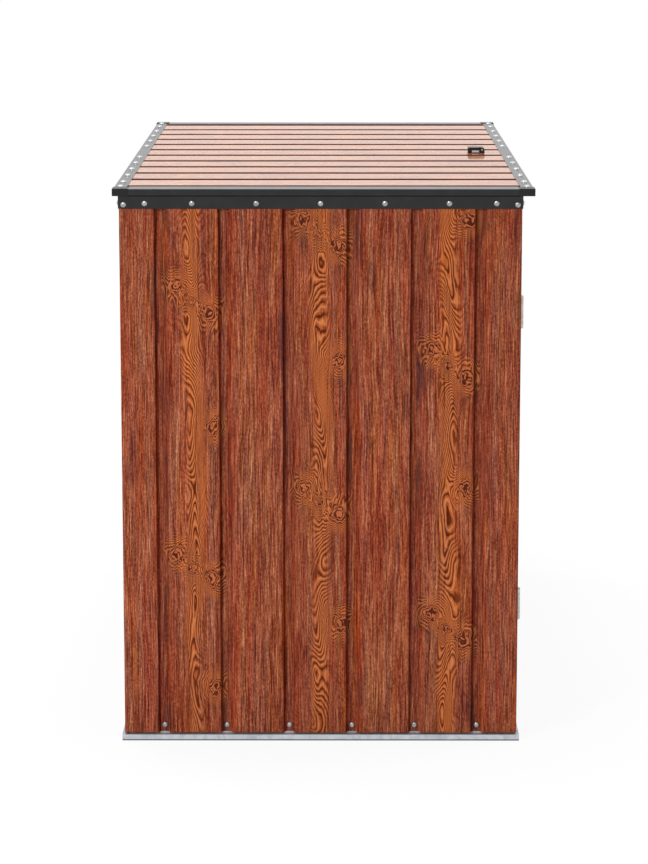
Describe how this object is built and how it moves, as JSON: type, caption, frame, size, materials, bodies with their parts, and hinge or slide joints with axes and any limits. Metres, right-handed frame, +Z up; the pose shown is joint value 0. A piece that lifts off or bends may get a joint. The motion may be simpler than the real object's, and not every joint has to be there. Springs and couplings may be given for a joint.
{
  "type": "garden storage box",
  "caption": "Ribbed sheet-steel garden storage box with a flat hinged lid on gas struts, double front doors with a slide latch, black trim rails and a galvanised base rail.",
  "frame": {"origin": "bottom centre of the box, on the ground", "axes": "+Z up, -Y out of the doors at the front, +X to the right seen from the front; the lid hinge is along +Y"},
  "size_m": [1.547, 0.84, 1.1478],
  "materials": {
    "wood_print": "printed wood grain under a glossy clear coat",
    "black_paint": "glossy powder coat",
    "galvanised_steel": "hot-dip zinc, soft spangle",
    "zinc_fasteners": "bright zinc plate",
    "hinge_steel": "plated steel",
    "strut_chrome": "polished",
    "cap_plastic": "moulded",
    "buffer_rubber": "matt"
  },
  "bodies": {
    "box_body": {"base_rail_left": "galvanised_steel", "base_rail_right": "galvanised_steel", "base_rail_back": "galvanised_steel", "base_sill": "galvanised_steel", "wall_left": "wood_print", "wall_right": "wood_print", "wall_back_left": "wood_print", "wall_back_right": "wood_print", "front_jamb_left": "wood_print", "front_jamb_right": "wood_print", "back_post_left": "galvanised_steel", "back_post_right": "galvanised_steel", "back_mid_post": "galvanised_steel", "top_rail_left": "black_paint", "top_rail_right": "black_paint", "top_rail_back": "black_paint", "top_rail_front": "black_paint", "side_braces": "galvanised_steel", "back_brace": "galvanised_steel", "strut_body_brackets": "galvanised_steel", "lid_buffers": "buffer_rubber", "hinge_fixed_leaves": "hinge_steel", "hinge_pins": "hinge_steel", "frame_bolts": "zinc_fasteners", "frame_rivets": "zinc_fasteners"},
    "lid": {"lid_panel_left": "wood_print", "lid_panel_right": "wood_print", "lid_rail_front": "black_paint", "lid_rail_back": "black_paint", "lid_rail_left": "black_paint", "lid_rail_right": "black_paint", "lid_corner_caps": "cap_plastic", "lid_braces": "galvanised_steel", "lid_seam_strip": "galvanised_steel", "lid_hinge_leaves": "hinge_steel", "strut_lid_brackets": "galvanised_steel", "lid_fasteners": "zinc_fasteners", "lid_pull_base": "black_paint", "lid_pull_pin": "hinge_steel"},
    "lid_pull": {"lid_pull_flap": "black_paint"},
    "strut_left_barrel": {"strut_left_cylinder": "black_paint"},
    "strut_left_piston": {"strut_left_rod": "strut_chrome"},
    "strut_right_barrel": {"strut_right_cylinder": "black_paint"},
    "strut_right_piston": {"strut_right_rod": "strut_chrome"},
    "door_left": {"door_left_skin": "wood_print", "door_left_channels": "galvanised_steel", "door_left_hinge_leaves": "hinge_steel", "door_left_handle": "black_paint", "door_left_rivets": "zinc_fasteners", "latch_keeper": "black_paint"},
    "door_right": {"door_right_skin": "wood_print", "door_right_channels": "galvanised_steel", "door_right_hinge_leaves": "hinge_steel", "door_right_handle": "black_paint", "door_right_rivets": "zinc_fasteners", "latch_plate": "black_paint"},
    "latch": {"latch_bolt": "hinge_steel"},
    "top_bolt": {"drop_bolt_top": "hinge_steel"},
    "bottom_bolt": {"drop_bolt_bottom": "hinge_steel"}
  },
  "joints": [
    {"name": "lid_hinge", "type": "hinge", "parent": "box_body", "child": "lid", "pos_m": [0, 0.41325, 1.11835], "axis": [-1, 0, 0], "range_deg": [0, 75]},
    {"name": "lid_pull_hinge", "type": "hinge", "parent": "lid", "child": "lid_pull", "pos_m": [0, -0.3524, 1.1422], "axis": [1, 0, 0], "range_deg": [0, 95]},
    {"name": "strut_left_barrel_pivot", "type": "hinge", "parent": "box_body", "child": "strut_left_barrel", "pos_m": [-0.714, 0.34658, 0.86601], "axis": [-1, 0, 0], "range_deg": [0, 37.5]},
    {"name": "strut_left_rod_pivot", "type": "hinge", "parent": "lid", "child": "strut_left_piston", "pos_m": [-0.714, 0.15332, 1.09469], "axis": [-1, 0, 0], "range_deg": [-37.5, 0]},
    {"name": "strut_right_barrel_pivot", "type": "hinge", "parent": "box_body", "child": "strut_right_barrel", "pos_m": [0.714, 0.34658, 0.86601], "axis": [-1, 0, 0], "range_deg": [0, 37.5]},
    {"name": "strut_right_rod_pivot", "type": "hinge", "parent": "lid", "child": "strut_right_piston", "pos_m": [0.714, 0.15332, 1.09469], "axis": [-1, 0, 0], "range_deg": [-37.5, 0]},
    {"name": "door_left_hinge", "type": "hinge", "parent": "box_body", "child": "door_left", "pos_m": [-0.7105, -0.39875, 0.5785], "axis": [0, 0, -1], "range_deg": [0, 170]},
    {"name": "door_right_hinge", "type": "hinge", "parent": "box_body", "child": "door_right", "pos_m": [0.7105, -0.39875, 0.5785], "axis": [0, 0, 1], "range_deg": [0, 170]},
    {"name": "latch_slide", "type": "slide", "parent": "door_right", "child": "latch", "axis": [-1, 0, 0], "range_m": [0, 0.026]},
    {"name": "top_bolt_slide", "type": "slide", "parent": "door_left", "child": "top_bolt", "axis": [0, 0, 1], "range_m": [0, 0.022]},
    {"name": "bottom_bolt_slide", "type": "slide", "parent": "door_left", "child": "bottom_bolt", "axis": [0, 0, -1], "range_m": [0, 0.015]}
  ],
  "couplings": [
    {"joint": "strut_left_barrel_pivot", "follows": "lid_hinge", "ratio": 0.5},
    {"joint": "strut_left_rod_pivot", "follows": "lid_hinge", "ratio": -0.5},
    {"joint": "strut_right_barrel_pivot", "follows": "lid_hinge", "ratio": 0.5},
    {"joint": "strut_right_rod_pivot", "follows": "lid_hinge", "ratio": -0.5}
  ]
}
